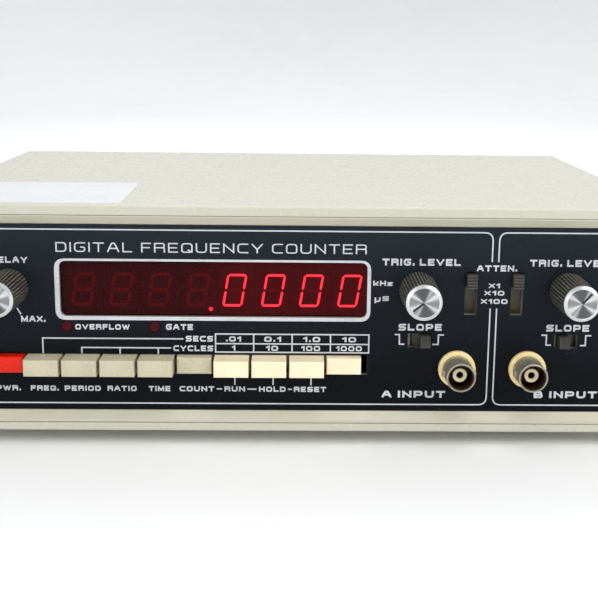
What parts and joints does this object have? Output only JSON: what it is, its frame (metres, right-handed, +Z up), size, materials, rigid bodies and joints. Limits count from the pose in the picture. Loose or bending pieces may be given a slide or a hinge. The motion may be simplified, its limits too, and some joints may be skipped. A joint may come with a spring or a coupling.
{
  "type": "frequency counter",
  "caption": "Low bench frequency counter with clamshell case, red digital display, row of push keys, knobs, slide switches and two coaxial inputs.",
  "frame": {"origin": "on the table surface, midway between the sides and midway between the foremost knob face and the rearmost fuse cap", "axes": "+Z up, the front panel faces -Y, +X to the right as the user sees the front"},
  "size_m": [0.254, 0.203, 0.0812],
  "materials": {
    "bare_sheet": "brushed",
    "bezel_plastic": "satin",
    "board": "solder resist",
    "can_metal": "drawn",
    "capacitor_sleeve": "shrunk sleeve",
    "chip_epoxy": "moulded",
    "connector_core": "moulded",
    "connector_nickel": "worn nickel plate",
    "contact_gold": "plated",
    "cover_plastic": "satin, fine texture",
    "digit_module": "matt",
    "fitting_black": "moulded",
    "foot_rubber": "matt",
    "fuse_glass": "tube with metal ends",
    "key_cream": "satin",
    "key_grey": "satin",
    "key_red": "satin",
    "knob_black": "moulded, fluted",
    "knob_cap_metal": "turned, radial sheen",
    "lamination": "varnished",
    "lamp_lens": "clear red",
    "module_black": "moulded",
    "nylon": "natural",
    "panel_paint": "matt with printed legends",
    "pot_metal": "plated",
    "red_filter": "polished",
    "screw_steel": "plated",
    "shaft_metal": "turned",
    "sink_black": "anodised",
    "slider_black": "moulded",
    "washer_cream": "moulded",
    "winding_tape": "wrapped",
    "zinc_steel": "zinc plated"
  },
  "bodies": {
    "case": {"top_cover": "cover_plastic", "bottom_cover": "cover_plastic", "case_screws": "screw_steel", "feet": "foot_rubber", "front_bezel": "bezel_plastic", "front_panel": "panel_paint", "rear_panel": "bare_sheet", "display_window": "red_filter", "led_digits": "digit_module", "display_board": "board", "display_spacers": "nylon", "indicator_lamps": "lamp_lens", "switch_frame": "zinc_steel", "switch_modules": "module_black", "potentiometers": "pot_metal", "atten_switches": "slider_black", "slope_switches": "slider_black", "input_a_shell": "connector_nickel", "input_b_shell": "connector_nickel", "input_cores": "connector_core", "input_contacts": "contact_gold", "input_washers": "washer_cream", "main_board": "board", "board_screws": "screw_steel", "logic_chips": "chip_epoxy", "reference_crystal": "can_metal", "transformer_core": "lamination", "transformer_winding": "winding_tape", "reservoir_capacitors": "capacitor_sleeve", "heat_sink": "sink_black", "regulator": "chip_epoxy", "fuse_holder": "fitting_black", "cord_gland": "fitting_black", "panel_nuts": "screw_steel"},
    "button_power": {"button_power": "key_red"},
    "button_freq": {"button_freq": "key_grey"},
    "button_period": {"button_period": "key_grey"},
    "button_ratio": {"button_ratio": "key_grey"},
    "button_time": {"button_time": "key_grey"},
    "button_count": {"button_count": "key_grey"},
    "button_run": {"button_run": "key_cream"},
    "button_hold": {"button_hold": "key_cream"},
    "button_reset": {"button_reset": "key_cream"},
    "button_thousand": {"button_thousand": "key_cream"},
    "delay_control": {"delay_shaft": "shaft_metal", "delay_knob": "knob_black", "delay_knob_cap": "knob_cap_metal"},
    "trigger_a_control": {"trigger_a_shaft": "shaft_metal", "trigger_a_knob": "knob_black", "trigger_a_knob_cap": "knob_cap_metal"},
    "trigger_b_control": {"trigger_b_shaft": "shaft_metal", "trigger_b_knob": "knob_black", "trigger_b_knob_cap": "knob_cap_metal"},
    "atten_a": {"atten_a_slider": "slider_black"},
    "slope_a": {"slope_a_slider": "slider_black"},
    "atten_b": {"atten_b_slider": "slider_black"},
    "slope_b": {"slope_b_slider": "slider_black"},
    "fuse_carrier": {"fuse_cap": "fitting_black", "fuse": "fuse_glass"}
  },
  "joints": [
    {"name": "press_power", "type": "slide", "parent": "case", "child": "button_power", "axis": [0, 1, 0], "range_m": [-0.0044, 0]},
    {"name": "press_freq", "type": "slide", "parent": "case", "child": "button_freq", "axis": [0, 1, 0], "range_m": [0, 0.0044], "stiffness_N_per_m": 150, "springref_m": -0.004},
    {"name": "press_period", "type": "slide", "parent": "case", "child": "button_period", "axis": [0, 1, 0], "range_m": [0, 0.0044], "stiffness_N_per_m": 150, "springref_m": -0.004},
    {"name": "press_ratio", "type": "slide", "parent": "case", "child": "button_ratio", "axis": [0, 1, 0], "range_m": [0, 0.0044], "stiffness_N_per_m": 150, "springref_m": -0.004},
    {"name": "press_time", "type": "slide", "parent": "case", "child": "button_time", "axis": [0, 1, 0], "range_m": [0, 0.0044], "stiffness_N_per_m": 150, "springref_m": -0.004},
    {"name": "press_count", "type": "slide", "parent": "case", "child": "button_count", "axis": [0, 1, 0], "range_m": [-0.0044, 0]},
    {"name": "press_run", "type": "slide", "parent": "case", "child": "button_run", "axis": [0, 1, 0], "range_m": [0, 0.0044], "stiffness_N_per_m": 150, "springref_m": -0.004},
    {"name": "press_hold", "type": "slide", "parent": "case", "child": "button_hold", "axis": [0, 1, 0], "range_m": [0, 0.0044], "stiffness_N_per_m": 150, "springref_m": -0.004},
    {"name": "press_reset", "type": "slide", "parent": "case", "child": "button_reset", "axis": [0, 1, 0], "range_m": [0, 0.0044], "stiffness_N_per_m": 150, "springref_m": -0.004},
    {"name": "press_thousand", "type": "slide", "parent": "case", "child": "button_thousand", "axis": [0, 1, 0], "range_m": [-0.0044, 0]},
    {"name": "turn_delay", "type": "hinge", "parent": "case", "child": "delay_control", "pos_m": [-0.09185, -0.0815, 0.0537], "axis": [0, 1, 0], "range_deg": [0, 300]},
    {"name": "turn_trigger_a", "type": "hinge", "parent": "case", "child": "trigger_a_control", "pos_m": [0.0421, -0.0815, 0.0537], "axis": [0, 1, 0], "range_deg": [-22, 278]},
    {"name": "turn_trigger_b", "type": "hinge", "parent": "case", "child": "trigger_b_control", "pos_m": [0.09185, -0.0815, 0.0537], "axis": [0, 1, 0], "range_deg": [-190, 110]},
    {"name": "attenuate_a", "type": "slide", "parent": "case", "child": "atten_a", "axis": [0, 0, -1], "range_m": [0, 0.0088]},
    {"name": "select_slope_a", "type": "slide", "parent": "case", "child": "slope_a", "axis": [1, 0, 0], "range_m": [-0.0026, 0]},
    {"name": "attenuate_b", "type": "slide", "parent": "case", "child": "atten_b", "axis": [0, 0, -1], "range_m": [0, 0.0088]},
    {"name": "select_slope_b", "type": "slide", "parent": "case", "child": "slope_b", "axis": [1, 0, 0], "range_m": [0, 0.0026]},
    {"name": "turn_fuse_cap", "type": "hinge", "parent": "case", "child": "fuse_carrier", "pos_m": [-0.1, 0.0915, 0.043], "axis": [0, 1, 0], "range_deg": [0, 90]}
  ]
}
